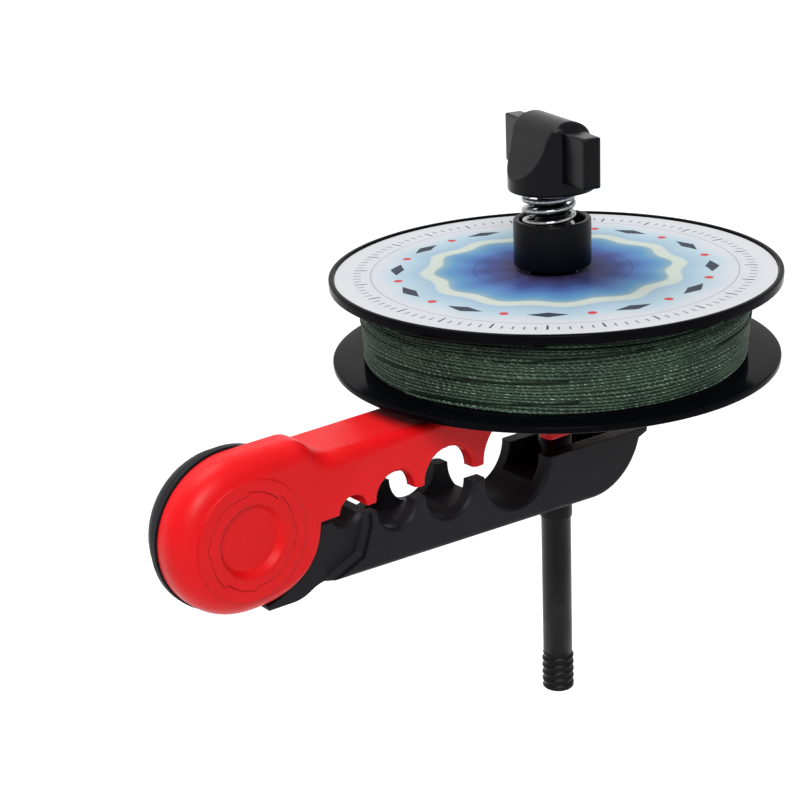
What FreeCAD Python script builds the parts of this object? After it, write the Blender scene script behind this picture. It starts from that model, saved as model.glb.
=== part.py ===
# Line winder: a hinged rod clamp that carries a spool of line on an upright spindle.
# Frame: origin on the axis of the rod seat. X runs along the jaws from hub to spindle,
# Y is the rod's direction (the face with the hub cap looks towards -Y), Z is up the spindle.
import FreeCAD, Part
import math, os

V = FreeCAD.Vector
BEYOND = 99          # past every surface, for cuts and tests that are open to one side

# ---------------------------------------------------------------- gaps
PLAY = 0.30          # between parts of different bodies that pass each other
RUN = 0.06           # radial gap of a turning fit
SLIP = 0.05          # gap of a part that is laid or slid into its place
LOOSE = 0.3          # radial gap round washers and rings
EDGE = 0.5           # small bevels and rounds on turned parts

# ---------------------------------------------------------------- rod and jaws
ROD_R = 3.35         # rod blank held in the smallest notch
JAW_T = 15.8         # jaw thickness, along the rod
WALL = 3.2           # side walls of the hollow jaws
JAW_CLOSED_GAP = 1.3 # between the teeth when the jaws are parallel
JAW_OPEN_DEG = 1.9   # how far the rod holds them open
TEETH_Z = 0.2        # underside of the upper jaw's teeth
UPPER_TOP = 12.8     # flat top of the upper jaw
ROOF = 3.2           # its thickness
ARM_TOP_ROUND = 1.8
TIP_R = 8.0          # round end of the upper jaw's roof
FADE_END_X = 24.0    # from here on the near rim of the roof has that rounding too
HOLLOW_START = 5.0   # the jaws are hollow from here to their tip
LOWER_TOP = TEETH_Z - JAW_CLOSED_GAP
LOWER_FLOOR = LOWER_TOP - 5.7
JAW_END_X = 80.2
SEAT_R = ROD_R + SLIP
NOTCHES = {"small": (11.0, 4.8), "middle": (24.7, 6.25), "large": (43.2, 9.0)}
NOTCH_CHAMFER = 0.7

# ---------------------------------------------------------------- lower arm
END_R, END_RISE = 14.2, 1.1      # big round of the far end; its centre stands above the teeth
BELLY_X, BELLY_Z = -13.5, -15.4  # lowest part of the arm, next to the hub
WAIST_X, WAIST_Z = -5.0, -13.0
BELLY_ROUND, WAIST_ROUND = 3.4, 2.2
LIP_OUT, LIP_T, LIP_SLOPE = 1.4, 0.9, 0.7
ARM_ROUND = 1.2
NEAR_START = 4.4                 # the near half begins this far past the hub's centre
RECESS, RECESS_SLOPE = 2.2, 1.0  # step in the near face beside the hub
CREASE_X = 4.6                   # its edge stands here, and slants in below:
CREASE_FOOT, CREASE_RUN = 3.2, 2.0   # height of the slant's foot over the waist, and its run
CREASE_RISE = 9.2
SEAT_BEVEL = 0.9

# ---------------------------------------------------------------- hub
HUB_X, HUB_Z = -23.7, 1.2
HUB_R = 16.1
FACE = JAW_T / 2
HALF_GAP = 0.15      # each hub half stands this far from the middle plane
FLANGE_R = HUB_R + 0.4      # thin flange of the lower hub half
FLANGE_T = 1.5
REAR_R = 15.6
REAR_ROUND = 5.5
NEAR_ROUND = 5.6      # soft edge of the near face round the back of the hub
FADE_FROM, FADE_TO = -95, -25   # between these angles that edge fades to FADE_R
FADE_R = 0.6
SHOULDER_X, SHOULDER_RUN = -12.5, 9.5
SHOULDER_ROUNDS = (4.8, 4.2, 3.7, 3.2)  # near rim over the hub, down the shoulder, at the arm
PLATEAU_R, PLATEAU_T = HUB_R - 3.9, 0.3
CAP_R, CAP_STEP, CAP_T = PLATEAU_R - 2.2, 0.7, 2.4
CAP_TEETH = 8
CAP_DISH_R, CAP_DISH_DEPTH, CAP_DISH_EDGE = 7.4, 1.4, 0.6
CAP_DISH_FLARE = 1.1
CAP_BACK = -FACE - PLATEAU_T + CAP_T
SLEEVE_R, SLEEVE_BORE = 3.0, 2.05
HEAD_POCKET_R = 4.6
SOCKET_AF, SOCKET_DEPTH = 2.6, 1.0
WASHER_GAP = 0.1     # the sleeve stands out by this much, so the jaws can turn under the washers
HEAD_FLOOR = -3.4
NUT_FLOOR = 4.7
SCREW_R, SCREW_HEAD_R, SCREW_HEAD_T = 2.0, 3.5, 1.5
WASHER_R, WASHER_T = 4.3, 0.6
NUT_AF, NUT_T = 7.0, 2.2
SPRING_WELL_IN, SPRING_WELL_OUT = 5.2, 9.0
WELL_NEAR, WELL_FAR = -2.2, 4.2
TORSION_R, TORSION_WIRE, TORSION_TURNS = 7.1, 1.2, 4.5
LEG, BEND = 2.0, 0.9   # straight end of the wire past the coil, and the radius it is bent to

# ---------------------------------------------------------------- spindle
SPINDLE_X = 61.0
SHANK_R = 3.9
TAIL_R = 3.3
THREAD_R = 3.6
STEM_R = 3.6
SPINDLE_BOTTOM = -65.1
TAIL_THREAD_TOP = -56.0
TAIL_TOP = -23.1
SHANK_TOP = 4.2
SPINDLE_TOP = 58.6
SPINDLE_EDGE = 0.6
BOSS_X = 8.0         # half length of the block that holds the spindle in the upper jaw
RING_R, RING_T = 6.4, 1.0
RING_SINK = 1.2

# ---------------------------------------------------------------- spool
SEAT_DISC_R, SEAT_BOSS_R, SEAT_BOSS = 11.0, 4.7, 5.0
SPOOL_BASE = 16.0
SPOOL_R = 47.5
FLANGE_RIM = 1.15
RIM_LIP, RIM_EDGE = 3.2, 0.35    # width of the lower flange's lip, and its height
SPOOL_BORE = SEAT_BOSS_R + RUN
WIND_BOTTOM = SPOOL_BASE + FLANGE_RIM
WIND_TOP = 33.8
UPPER_RIM_TOP = WIND_TOP + FLANGE_RIM
LABEL_RIM = 0.9      # raised rim of the flange outside the label
LABEL_R, LABEL_T, LABEL_HOLE = SPOOL_R - LABEL_RIM - 0.4, 0.2, 6.0
LABEL_SINK = 0.35
CORE_R, CORE_WALL, CORE_HUB_R = 30.0, 1.8, 8.0
CORE_RIB, CORE_RIBS = 1.6, 6
WIND_R_LOW, WIND_R_HIGH = 40.7, 41.9

# ---------------------------------------------------------------- cup, spring, knob
CUP_R = 8.15
CUP_FOOT_R, CUP_FOOT = 5.6, 1.3       # narrow foot that stands on the spool
CUP_EDGE, CUP_EDGE_RISE = 0.7, 0.5    # slanting edge under the cup's wall
CUP_TOP = 45.7
CUP_BORE = STEM_R + RUN
CUP_WELL_R, CUP_FLOOR = 6.9, 3.0
CUP_NOSE_R, CUP_NOSE = 4.55, 4.0
WASH_T = 0.6
DRAG_R, DRAG_WIRE, DRAG_TURNS = 5.1, 1.2, 4.5
SPRING_WASHER_R = DRAG_R + 1.3
DRAG_OFF_X, DRAG_OFF_Y = -0.55, 0.4   # the loose spring stands a little off the spindle's axis
KNOB_R, KNOB_BASE, KNOB_TOP = 9.15, 51.9, 67.1
KNOB_YAW = 15.5
KNOB_FOOT = 0.6      # rounding round the knob's underside
CROWN_ROUND, CROWN_RISE = 3.0, 0.4  # rounding of the wall's top, which would end above the ridge
RIDGE_R, RIDGE_TURN = 5.2, 13.0  # the ridge's round back ends this many degrees above level
SCOOP_LOW = 2.3      # height of the plain rim under the scoops
SCOOP_PAST = 0.6     # how far the scoops' cut runs past the wall
WING_HALF, WING_T, WING_ROOT_T = 17.7, 3.8, 5.4  # the wings thin out from the knob's middle
WING_LOW, WING_TOP_DROP = 3.1, 1.8
WING_END_ROUND, WING_EDGE = 0.8, 0.4
KNOB_DOWN = 2.5
INSERT_R, INSERT_L = 4.9, 6.0


# ---------------------------------------------------------------- helpers
def pt(x, z, y=0.0):
    return V(x, y, z)


def across(x, z, r, y0, y1):
    """Cylinder whose axis runs along the rod."""
    return Part.makeCylinder(r, y1 - y0, V(x, y0, z), V(0, 1, 0))


def upright(r, z0, z1, x=SPINDLE_X, y=0.0):
    """Cylinder whose axis is upright."""
    return Part.makeCylinder(r, z1 - z0, V(x, y, z0))


def block(x0, x1, y0, y1, z0, z1):
    return Part.makeBox(x1 - x0, y1 - y0, z1 - z0, V(x0, y0, z0))


def tube(r_out, r_in, z0, z1):
    return upright(r_out, z0, z1).cut(upright(r_in, z0 - 1, z1 + 1))


def turned(points, x=SPINDLE_X):
    """Solid of revolution about the spindle from (radius, height) corners."""
    ring = [V(x + r, 0, z) for r, z in points]
    face = Part.Face(Part.makePolygon(ring + [ring[0]]))
    return face.revolve(V(x, 0, 0), V(0, 0, 1), 360)


def slab(edges, y0, y1):
    """Extrude a closed outline drawn in the XZ plane from y0 to y1."""
    face = Part.Face(Part.Wire(Part.__sortEdges__(edges)))
    face.translate(V(0, y0, 0))
    return face.extrude(V(0, y1 - y0, 0))


def seg(a, b):
    return Part.LineSegment(a, b).toShape()


def arc(a, m, b):
    return Part.Arc(a, m, b).toShape()


def hub_point(r, deg):
    a = math.radians(deg)
    return pt(HUB_X + r * math.cos(a), HUB_Z + r * math.sin(a))


def hub_arc(r, d0, d1):
    return arc(hub_point(r, d0), hub_point(r, (d0 + d1) / 2), hub_point(r, d1))


def s_bend(a, b):
    """Two equal arcs from a to b that start and end level."""
    run, drop = b.x - a.x, abs(b.z - a.z)
    way = 1 if b.z > a.z else -1
    r = (run * run + drop * drop) / 4 / drop
    half = math.asin(run / 2 / r) / 2
    dx, dz = r * math.sin(half), way * r * (1 - math.cos(half))
    mid = (a + b) / 2
    return [arc(a, pt(a.x + dx, a.z + dz), mid), arc(mid, pt(b.x - dx, b.z - dz), b)]


def opened(shape):
    """Turn the lower jaw from parallel to the angle at which it holds the rod."""
    out = shape.copy()
    out.rotate(V(HUB_X, 0, HUB_Z), V(0, 1, 0), JAW_OPEN_DEG)
    return out


def variable_fillet(shape, rules):
    """Fillet edges; each rule is (test, radius at its -X end, radius at its +X end)."""
    doc = FreeCAD.newDocument("fillet")
    base = doc.addObject("Part::Feature", "base")
    base.Shape = shape
    picks = []
    for i, e in enumerate(shape.Edges, 1):
        for test, r_low, r_high in rules:
            if test(e):
                first, last = e.valueAt(e.FirstParameter), e.valueAt(e.LastParameter)
                if e.Orientation == "Reversed":
                    first, last = last, first
                low_first = (first.x, first.z) < (last.x, last.z)
                picks.append((i, r_low, r_high) if low_first else (i, r_high, r_low))
                break
    feat = doc.addObject("Part::Fillet", "round")
    feat.Base = base
    feat.Edges = picks
    doc.recompute()
    out = feat.Shape.copy()
    FreeCAD.closeDocument(doc.Name)
    return out


def on_plane_y(e, y):
    b = e.BoundBox
    return abs(b.YMin - y) < 1e-4 and abs(b.YMax - y) < 1e-4


def on_level(e, z):
    b = e.BoundBox
    return abs(b.ZMin - z) < 1e-4 and abs(b.ZMax - z) < 1e-4


def middle(e):
    return e.valueAt((e.FirstParameter + e.LastParameter) / 2)


# ---------------------------------------------------------------- upper jaw
def upper_outline():
    """Hub disc running into the arm, drawn once round."""
    start = math.degrees(math.asin((TEETH_Z - HUB_Z) / HUB_R))
    p0 = hub_point(HUB_R, start)
    top = pt(HUB_X, HUB_Z + HUB_R)
    sh = pt(SHOULDER_X, HUB_Z + HUB_R)
    low = pt(sh.x + SHOULDER_RUN, UPPER_TOP)
    knee = pt(FADE_END_X, UPPER_TOP)
    t0 = pt(JAW_END_X - TIP_R, UPPER_TOP)
    t1 = pt(JAW_END_X, UPPER_TOP - TIP_R)
    reach = TIP_R * math.cos(math.radians(45))
    tm = pt(JAW_END_X - TIP_R + reach, UPPER_TOP - TIP_R + reach)
    end = pt(JAW_END_X, TEETH_Z)
    disc = [hub_arc(HUB_R, start, FADE_TO), hub_arc(HUB_R, FADE_TO, FADE_FROM),
            hub_arc(HUB_R, FADE_FROM, -180), hub_arc(HUB_R, 180, 90)]
    arm = [seg(low, knee), seg(knee, t0), arc(t0, tm, t1), seg(t1, end), seg(end, p0)]
    return disc + [seg(top, sh)] + s_bend(sh, low) + arm


def upper_blank():
    near = slab(upper_outline(), -FACE, -HALF_GAP)
    far = slab(upper_outline(), -HALF_GAP, FACE)
    # the far half has no shoulder: its top runs level up to the rear hub
    arm_x = SHOULDER_X + SHOULDER_RUN
    far = far.cut(block(-BEYOND, arm_x, -HALF_GAP - 1, FACE + 1, UPPER_TOP, BEYOND))
    top = [e for e in far.Edges if on_plane_y(e, FACE) and middle(e).z > UPPER_TOP / 2]
    far = far.makeFillet(ARM_TOP_ROUND, top)
    far = far.cut(across(HUB_X, HUB_Z, FLANGE_R + PLAY * 2, -HALF_GAP, FACE + 1))
    far = far.cut(block(-BEYOND, HUB_X + 1, -HALF_GAP - 1, FACE + 1, -BEYOND, BEYOND))
    far = far.cut(block(-BEYOND, HUB_X + FLANGE_R + ROOF, -HALF_GAP, FACE + 1, -BEYOND, TEETH_Z))
    return near, far


def upper_round_near(shape):
    """Soft near rim: widest round the hub, then narrower over the shoulder and the arm."""
    def span(x0, x1, z0=-BEYOND, z1=BEYOND):
        return lambda e: on_plane_y(e, -FACE) and x0 < middle(e).x < x1 and z0 < middle(e).z < z1
    below = HUB_Z - HUB_R / 2
    above = UPPER_TOP - ARM_TOP_ROUND
    bend_x, arm_x = SHOULDER_X + SHOULDER_RUN / 2, SHOULDER_X + SHOULDER_RUN
    over_hub, over_shoulder, mid_bend, arm_start = SHOULDER_ROUNDS
    return variable_fillet(shape, [
        (span(-BEYOND, HUB_X - 3, -BEYOND, below), NEAR_ROUND, NEAR_ROUND),
        (span(HUB_X - 3, HUB_X + HUB_R, -BEYOND, below), NEAR_ROUND, FADE_R),
        (span(-BEYOND, HUB_X, HUB_Z), NEAR_ROUND, over_hub),
        (span(HUB_X, SHOULDER_X, above), over_hub, over_shoulder),
        (span(SHOULDER_X, bend_x, above), over_shoulder, mid_bend),
        (span(bend_x, arm_x, above), mid_bend, arm_start),
        (span(arm_x, FADE_END_X, above), arm_start, ARM_TOP_ROUND),
        (span(FADE_END_X, JAW_END_X - TIP_R, above), ARM_TOP_ROUND, ARM_TOP_ROUND),
        (span(JAW_END_X - TIP_R, BEYOND, TEETH_Z), ARM_TOP_ROUND, ARM_TOP_ROUND),
    ])


def cap_outline(grow):
    """Round seam with small saw steps; grow widens it for the pocket."""
    edges, step = [], 360.0 / CAP_TEETH
    for i in range(CAP_TEETH):
        a0, a1 = i * step + 3, (i + 1) * step
        p = [hub_point(CAP_R - CAP_STEP * k + grow, a0 + (a1 - a0) * (1 - k)) for k in (1, 0.5, 0)]
        q = hub_point(CAP_R - CAP_STEP + grow, a1 + 3)
        edges += [arc(p[0], p[1], p[2]), seg(p[2], q)]
    return edges


def notch_cutters(z, extra=0.0):
    """Notches across the jaw with a bevel at both faces."""
    out = None
    for x, r in NOTCHES.values():
        one = across(x, z, r + extra, -FACE - 1, FACE + 1)
        for side in (-1, 1):
            wide = Part.makeCone(r + extra + NOTCH_CHAMFER, r + extra, NOTCH_CHAMFER,
                                 V(x, side * FACE, z), V(0, -side, 0))
            one = one.fuse(wide)
        out = one if out is None else out.fuse(one)
    return out


def make_upper_jaw():
    near, far = upper_blank()
    near = upper_round_near(near)
    body = near.fuse(far).removeSplitter()
    body = body.fuse(across(HUB_X, HUB_Z, PLATEAU_R, -FACE - PLATEAU_T, -FACE + 0.5))
    # hollow under the roof, with solid blocks at the rod seat and the spindle
    inner = FACE - WALL
    body = body.cut(block(HOLLOW_START, SPINDLE_X - BOSS_X, -inner, inner, -5, UPPER_TOP - ROOF))
    body = body.cut(block(SPINDLE_X + BOSS_X, JAW_END_X - WALL, -inner, inner, -5, UPPER_TOP - ROOF))
    body = body.cut(block(SPINDLE_X - BOSS_X, SPINDLE_X + BOSS_X, -inner, inner, -5, SHANK_TOP))
    body = body.cut(notch_cutters(TEETH_Z))
    body = body.cut(across(0, 0, SEAT_R, -FACE - 1, FACE + 1))
    body = body.cut(upright(STEM_R + SLIP, -5, UPPER_TOP + 1))
    body = body.cut(upright(RING_R + LOOSE, UPPER_TOP - RING_SINK, UPPER_TOP + 1))
    # hub: cap pocket, screw head pocket, sleeve bore and spring well
    body = body.cut(slab(cap_outline(SLIP), -FACE - 2, CAP_BACK))
    body = body.cut(across(HUB_X, HUB_Z, HEAD_POCKET_R, CAP_BACK - 1, HEAD_FLOOR))
    body = body.cut(across(HUB_X, HUB_Z, SLEEVE_R + SLIP, -FACE, FACE))
    well = across(HUB_X, HUB_Z, SPRING_WELL_OUT, WELL_NEAR, 1)
    body = body.cut(well.cut(across(HUB_X, HUB_Z, SPRING_WELL_IN, WELL_NEAR - 1, 2)))
    leg = hub_point(TORSION_R, 90 + math.degrees(BEND / TORSION_R))
    return body.cut(across(leg.x, leg.z, TORSION_WIRE / 2 + 0.1, WELL_NEAR - LEG, WELL_NEAR + 1))


# ---------------------------------------------------------------- lower jaw
def lower_arm():
    """Underside and far end of the lower jaw's arm, from the belly to the lip; the jaws are parallel."""
    c = pt(JAW_END_X - END_R, LOWER_TOP + END_RISE)
    belly = pt(BELLY_X, BELLY_Z)
    waist = pt(WAIST_X, WAIST_Z)
    bottom = pt(c.x, c.z - END_R)
    slant = END_R * math.cos(math.radians(45))
    lip_low = LOWER_TOP - LIP_T - LIP_SLOPE
    arc_end = pt(c.x + math.sqrt(END_R ** 2 - (lip_low - c.z) ** 2), lip_low)
    lip_x = c.x + END_R + LIP_OUT
    tip = pt(lip_x, LOWER_TOP - LIP_T)
    top = pt(lip_x, LOWER_TOP)
    edges = s_bend(belly, waist) + [seg(waist, bottom), arc(bottom, pt(c.x + slant, c.z - slant), arc_end),
             seg(arc_end, tip), seg(tip, top)]
    return belly, top, edges


def lower_outline_near():
    """The near half is trimmed round the upper hub disc later."""
    belly, top, edges = lower_arm()
    a, b = pt(HUB_X + NEAR_START, BELLY_Z), pt(HUB_X + NEAR_START, LOWER_TOP)
    return edges + [seg(top, b), seg(b, a), seg(a, belly)]


def belly_tangent():
    """Angle on the rear hub at which its rim runs into the straight line to the belly."""
    dx, dz = BELLY_X - HUB_X, BELLY_Z - HUB_Z
    return math.degrees(math.atan2(dz, dx) - math.acos(REAR_R / math.hypot(dx, dz)))


def lower_outline_far():
    """The far half runs from the arm round the whole rear hub."""
    belly, top, edges = lower_arm()
    start = math.degrees(math.asin((LOWER_TOP - HUB_Z) / REAR_R))
    end = belly_tangent()
    return edges + [seg(top, hub_point(REAR_R, start)), hub_arc(REAR_R, start, 90), hub_arc(REAR_R, 90, 180),
                    hub_arc(REAR_R, 180, 360 + end), seg(hub_point(REAR_R, end), belly)]


def recess_cutter():
    """Thins the near face beside the hub; its edge is the slanting crease."""
    low, high, left = BELLY_Z - 9, -LOWER_FLOOR + 1, HUB_X - HUB_R
    pts = [pt(left, low), pt(WAIST_X - 7, low), pt(WAIST_X, WAIST_Z - 0.2),
           pt(CREASE_X - CREASE_RUN, WAIST_Z + CREASE_FOOT), pt(CREASE_X, WAIST_Z + CREASE_RISE),
           pt(CREASE_X, high), pt(left, high)]
    edges = [seg(pts[i], pts[(i + 1) % len(pts)]) for i in range(len(pts))]
    return slab(edges, -FACE - 1, -FACE + RECESS)


def lower_round_far(shape):
    """Soft rim round the rear hub, fading to a small round along the arm."""
    def on_face(test):
        return lambda e: on_plane_y(e, FACE) and test(middle(e))
    big, small, bend = REAR_ROUND, ARM_ROUND, (BELLY_ROUND + WAIST_ROUND) / 2
    return variable_fillet(shape, [
        (on_face(lambda m: m.x > HUB_X + 1 and m.z > HUB_Z + 1), big, FADE_R),
        (on_face(lambda m: m.x < HUB_X + 1), big, big),
        (on_face(lambda m: m.z < LOWER_TOP - 2 and m.x < BELLY_X), big, BELLY_ROUND),
        (on_face(lambda m: m.z < LOWER_TOP - 2 and m.x < (BELLY_X + WAIST_X) / 2), BELLY_ROUND, bend),
        (on_face(lambda m: m.z < LOWER_TOP - 2 and m.x < WAIST_X), bend, WAIST_ROUND),
        (on_face(lambda m: m.z < LOWER_TOP - 2 and m.x < JAW_END_X - END_R), WAIST_ROUND, small),
        (on_face(lambda m: m.z < LOWER_TOP - 2), small, small),
    ])


def make_lower_jaw():
    near = slab(lower_outline_near(), -FACE, HALF_GAP)
    outer = [e for e in near.Edges if on_plane_y(e, -FACE)
             and middle(e).z < LOWER_TOP - 2 and middle(e).x > WAIST_X]
    near = near.makeFillet(ARM_ROUND, outer)
    cut = recess_cutter()
    lip = [e for e in cut.Edges if on_plane_y(e, -FACE + RECESS)]
    cut = cut.makeChamfer(RECESS_SLOPE, lip)
    near = near.cut(cut)
    # the near half stops round the upper hub disc
    near = near.cut(across(HUB_X, HUB_Z, HUB_R + PLAY, -FACE - 1, HALF_GAP))
    near = near.cut(block(HUB_X - 2 * HUB_R, HUB_X + NEAR_START, -FACE - 1, HALF_GAP, -40, 40))
    far = lower_round_far(slab(lower_outline_far(), HALF_GAP, FACE))
    body = near.fuse(far).removeSplitter()
    body = body.fuse(across(HUB_X, HUB_Z, FLANGE_R, HALF_GAP, HALF_GAP + FLANGE_T))
    inner = FACE - WALL
    body = body.cut(block(HOLLOW_START + PLAY, JAW_END_X - WALL, -inner, inner, LOWER_FLOOR, BEYOND))
    body = body.cut(notch_cutters(LOWER_TOP, -0.15))
    body = body.cut(spindle_slot())
    body = body.cut(across(HUB_X, HUB_Z, SLEEVE_R + RUN, -FACE, FACE + 1))
    body = body.cut(across(HUB_X, HUB_Z, HEAD_POCKET_R, NUT_FLOOR, FACE + 1))
    well = across(HUB_X, HUB_Z, SPRING_WELL_OUT, -1, WELL_FAR)
    body = body.cut(well.cut(across(HUB_X, HUB_Z, SPRING_WELL_IN, -2, WELL_FAR + 1)))
    body = opened(body)
    body = body.cut(leg_slot())
    body = body.cut(across(0, 0, SEAT_R, -FACE - 1, FACE + 1))
    near_bevel = Part.makeCone(SEAT_R + SEAT_BEVEL, SEAT_R, SEAT_BEVEL, V(0, -FACE + RECESS, 0), V(0, 1, 0))
    return body.cut(near_bevel)


def spindle_slot():
    """Lets the spindle stay upright while the lower jaw swings."""
    half = SHANK_R + 0.4
    x0, x1 = SPINDLE_X - 0.2, SPINDLE_X + 4.2
    s = block(x0, x1, -half, half, -30, 5)
    return s.fuse(upright(half, -30, 5, x0)).fuse(upright(half, -30, 5, x1))


def leg_slot():
    """Curved slot for the far leg of the torsion spring."""
    r = TORSION_WIRE / 2 + 0.35
    ring = across(HUB_X, HUB_Z, TORSION_R + r, WELL_FAR - 0.5, WELL_FAR + LEG)
    ring = ring.cut(across(HUB_X, HUB_Z, TORSION_R - r, WELL_FAR - 1, WELL_FAR + LEG + 1))
    mid = 270 - math.degrees(BEND / TORSION_R)
    a0, a1 = mid - 20, mid + 20
    p = [hub_point(0, 0), hub_point(20, a0), hub_point(20, a1)]
    wedge = slab([seg(p[0], p[1]), seg(p[1], p[2]), seg(p[2], p[0])], 0, FACE)
    return ring.common(wedge)


# ---------------------------------------------------------------- hub hardware
def make_hub_cap():
    cap = slab(cap_outline(-SLIP), -FACE - PLATEAU_T, CAP_BACK)
    face_y = -FACE - PLATEAU_T
    dish = Part.makeCone(CAP_DISH_R, CAP_DISH_R - CAP_DISH_FLARE, CAP_DISH_DEPTH,
                         V(HUB_X, face_y, HUB_Z), V(0, 1, 0))
    cap = cap.cut(dish)
    rim = [e for e in cap.Edges if on_plane_y(e, face_y) and abs(e.BoundBox.XLength - 2 * CAP_DISH_R) < 0.01]
    return cap.makeFillet(CAP_DISH_EDGE, rim)


def make_pivot_sleeve():
    y0, y1 = HEAD_FLOOR - WASHER_GAP, NUT_FLOOR + WASHER_GAP
    return across(HUB_X, HUB_Z, SLEEVE_R, y0, y1).cut(across(HUB_X, HUB_Z, SLEEVE_BORE, y0 - 1, y1 + 1))


def washer(y0):
    w = across(HUB_X, HUB_Z, WASHER_R, y0, y0 + WASHER_T)
    return w.cut(across(HUB_X, HUB_Z, SLEEVE_BORE, y0 - 1, y0 + WASHER_T + 1))


def hexagon(af, y0, y1):
    r = af / math.sqrt(3)
    p = [hub_point(r, 60 * i) for i in range(6)]
    return slab([seg(p[i], p[(i + 1) % 6]) for i in range(6)], y0, y1)


def make_pivot_screw():
    head_back = HEAD_FLOOR - WASHER_GAP - WASHER_T
    head = across(HUB_X, HUB_Z, SCREW_HEAD_R, head_back - SCREW_HEAD_T, head_back)
    edge = [e for e in head.Edges if on_plane_y(e, head_back - SCREW_HEAD_T)]
    head = head.makeFillet(EDGE, edge)
    shank = across(HUB_X, HUB_Z, SCREW_R, head_back, FACE - 0.2)
    body = head.fuse(shank)
    front = head_back - SCREW_HEAD_T
    return body.cut(hexagon(SOCKET_AF, front - 1, front + SOCKET_DEPTH))


def make_pivot_nut():
    y0 = NUT_FLOOR + WASHER_GAP + WASHER_T
    nut = hexagon(NUT_AF, y0, y0 + NUT_T)
    nut = nut.common(Part.makeCone(NUT_AF / 2 + 0.6 + NUT_T, NUT_AF / 2 + 0.2, NUT_T,
                                   V(HUB_X, y0, HUB_Z), V(0, 1, 0)))
    return nut.cut(across(HUB_X, HUB_Z, SCREW_R, y0 - 1, y0 + NUT_T + 1))


def coil(radius, wire, turns, height):
    """Round wire swept along a helix that starts at the origin and climbs Z."""
    path = Part.makeHelix(height / turns, height, radius)
    ring = Part.Wire(Part.makeCircle(wire / 2, V(radius, 0, 0), V(0, 1, 0)))
    return Part.Wire(path).makePipeShell([ring], True, True)


def make_torsion_spring():
    """Coil round the pivot with both ends bent over to lie along it, swept in one piece."""
    y0, y1 = WELL_NEAR + 0.2 + TORSION_WIRE / 2, WELL_FAR - 0.2 - TORSION_WIRE / 2
    turn = 360 * TORSION_TURNS

    def along(s, y):
        p = hub_point(TORSION_R, 90 - math.degrees(s / TORSION_R))
        return V(p.x, y, p.z)

    total = math.radians(turn) * TORSION_R
    bends = [math.radians(d) for d in (0, 30, 60)]
    path = [along(-BEND, y0 - LEG), along(-BEND, y0 - (LEG + BEND) / 2)]
    path += [along(-BEND * math.cos(t), y0 - BEND + BEND * math.sin(t)) for t in bends]
    steps = int(TORSION_TURNS * 16)
    path += [along(total * i / steps, y0 + (y1 - y0) * i / steps) for i in range(steps + 1)]
    path += [along(total + BEND * math.cos(t), y1 + BEND - BEND * math.sin(t)) for t in reversed(bends)]
    path += [along(total + BEND, y1 + (LEG + BEND) / 2), along(total + BEND, y1 + LEG)]
    curve = Part.BSplineCurve()
    curve.interpolate(path)
    ring = Part.Wire(Part.makeCircle(TORSION_WIRE / 2, path[0], V(0, 1, 0)))
    return Part.Wire(curve.toShape()).makePipeShell([ring], True, False)


# ---------------------------------------------------------------- spindle and spool
def make_spindle():
    bevel = SPINDLE_EDGE
    return turned([(0, SPINDLE_BOTTOM), (THREAD_R - bevel, SPINDLE_BOTTOM),
                   (THREAD_R, SPINDLE_BOTTOM + bevel), (THREAD_R, TAIL_THREAD_TOP),
                   (TAIL_R, TAIL_THREAD_TOP), (TAIL_R, TAIL_TOP),
                   (SHANK_R, TAIL_TOP), (SHANK_R, SHANK_TOP - SLIP), (STEM_R, SHANK_TOP - SLIP),
                   (STEM_R, SPINDLE_TOP - bevel), (STEM_R - bevel, SPINDLE_TOP), (0, SPINDLE_TOP)])


def make_retaining_ring():
    z0 = UPPER_TOP - RING_SINK + SLIP
    return tube(RING_R, STEM_R, z0, z0 + RING_T)


def make_spool_seat():
    z0 = UPPER_TOP
    top = SPOOL_BASE - SLIP
    boss_top = top + SEAT_BOSS
    return turned([(STEM_R + SLIP, z0), (SEAT_DISC_R, z0), (SEAT_DISC_R, top - EDGE),
                   (SEAT_DISC_R - EDGE, top), (SEAT_BOSS_R, top), (SEAT_BOSS_R, boss_top - EDGE),
                   (SEAT_BOSS_R - EDGE, boss_top), (STEM_R + SLIP, boss_top)])


def make_spool_lower_flange():
    z0, z1, r = SPOOL_BASE, WIND_BOTTOM, SPOOL_R
    lip = z0 - RIM_EDGE
    return turned([(SPOOL_BORE, z0), (r - RIM_LIP, z0), (r - RIM_LIP + RIM_EDGE, lip), (r - EDGE, lip),
                   (r, z0 + 0.1), (r, z1 - RIM_EDGE), (r - RIM_EDGE, z1), (SPOOL_BORE, z1)])


def make_spool_core():
    z0, z1 = WIND_BOTTOM, WIND_TOP
    body = tube(CORE_R, CORE_R - CORE_WALL, z0, z1).fuse(tube(CORE_HUB_R, SPOOL_BORE, z0, z1))
    for i in range(CORE_RIBS):
        rib = block(CORE_HUB_R - 0.5, CORE_R - CORE_WALL + 0.5, -CORE_RIB / 2, CORE_RIB / 2, z0, z1)
        rib.rotate(V(0, 0, 0), V(0, 0, 1), i * 360.0 / CORE_RIBS)
        rib.translate(V(SPINDLE_X, 0, 0))
        body = body.fuse(rib)
    return body.removeSplitter()


def make_spool_upper_flange():
    z0, z1, r = WIND_TOP, UPPER_RIM_TOP, SPOOL_R
    deck = z1 - LABEL_SINK
    return turned([(SPOOL_BORE, z0), (r - RIM_EDGE, z0), (r, z0 + RIM_EDGE),
                   (r, z1 - RIM_EDGE), (r - RIM_EDGE, z1),
                   (r - LABEL_RIM, z1), (LABEL_R + SLIP, deck), (SPOOL_BORE, deck)])


def make_spool_label():
    z0 = UPPER_RIM_TOP - LABEL_SINK
    return tube(LABEL_R, LABEL_HOLE, z0, z0 + LABEL_T)


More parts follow.
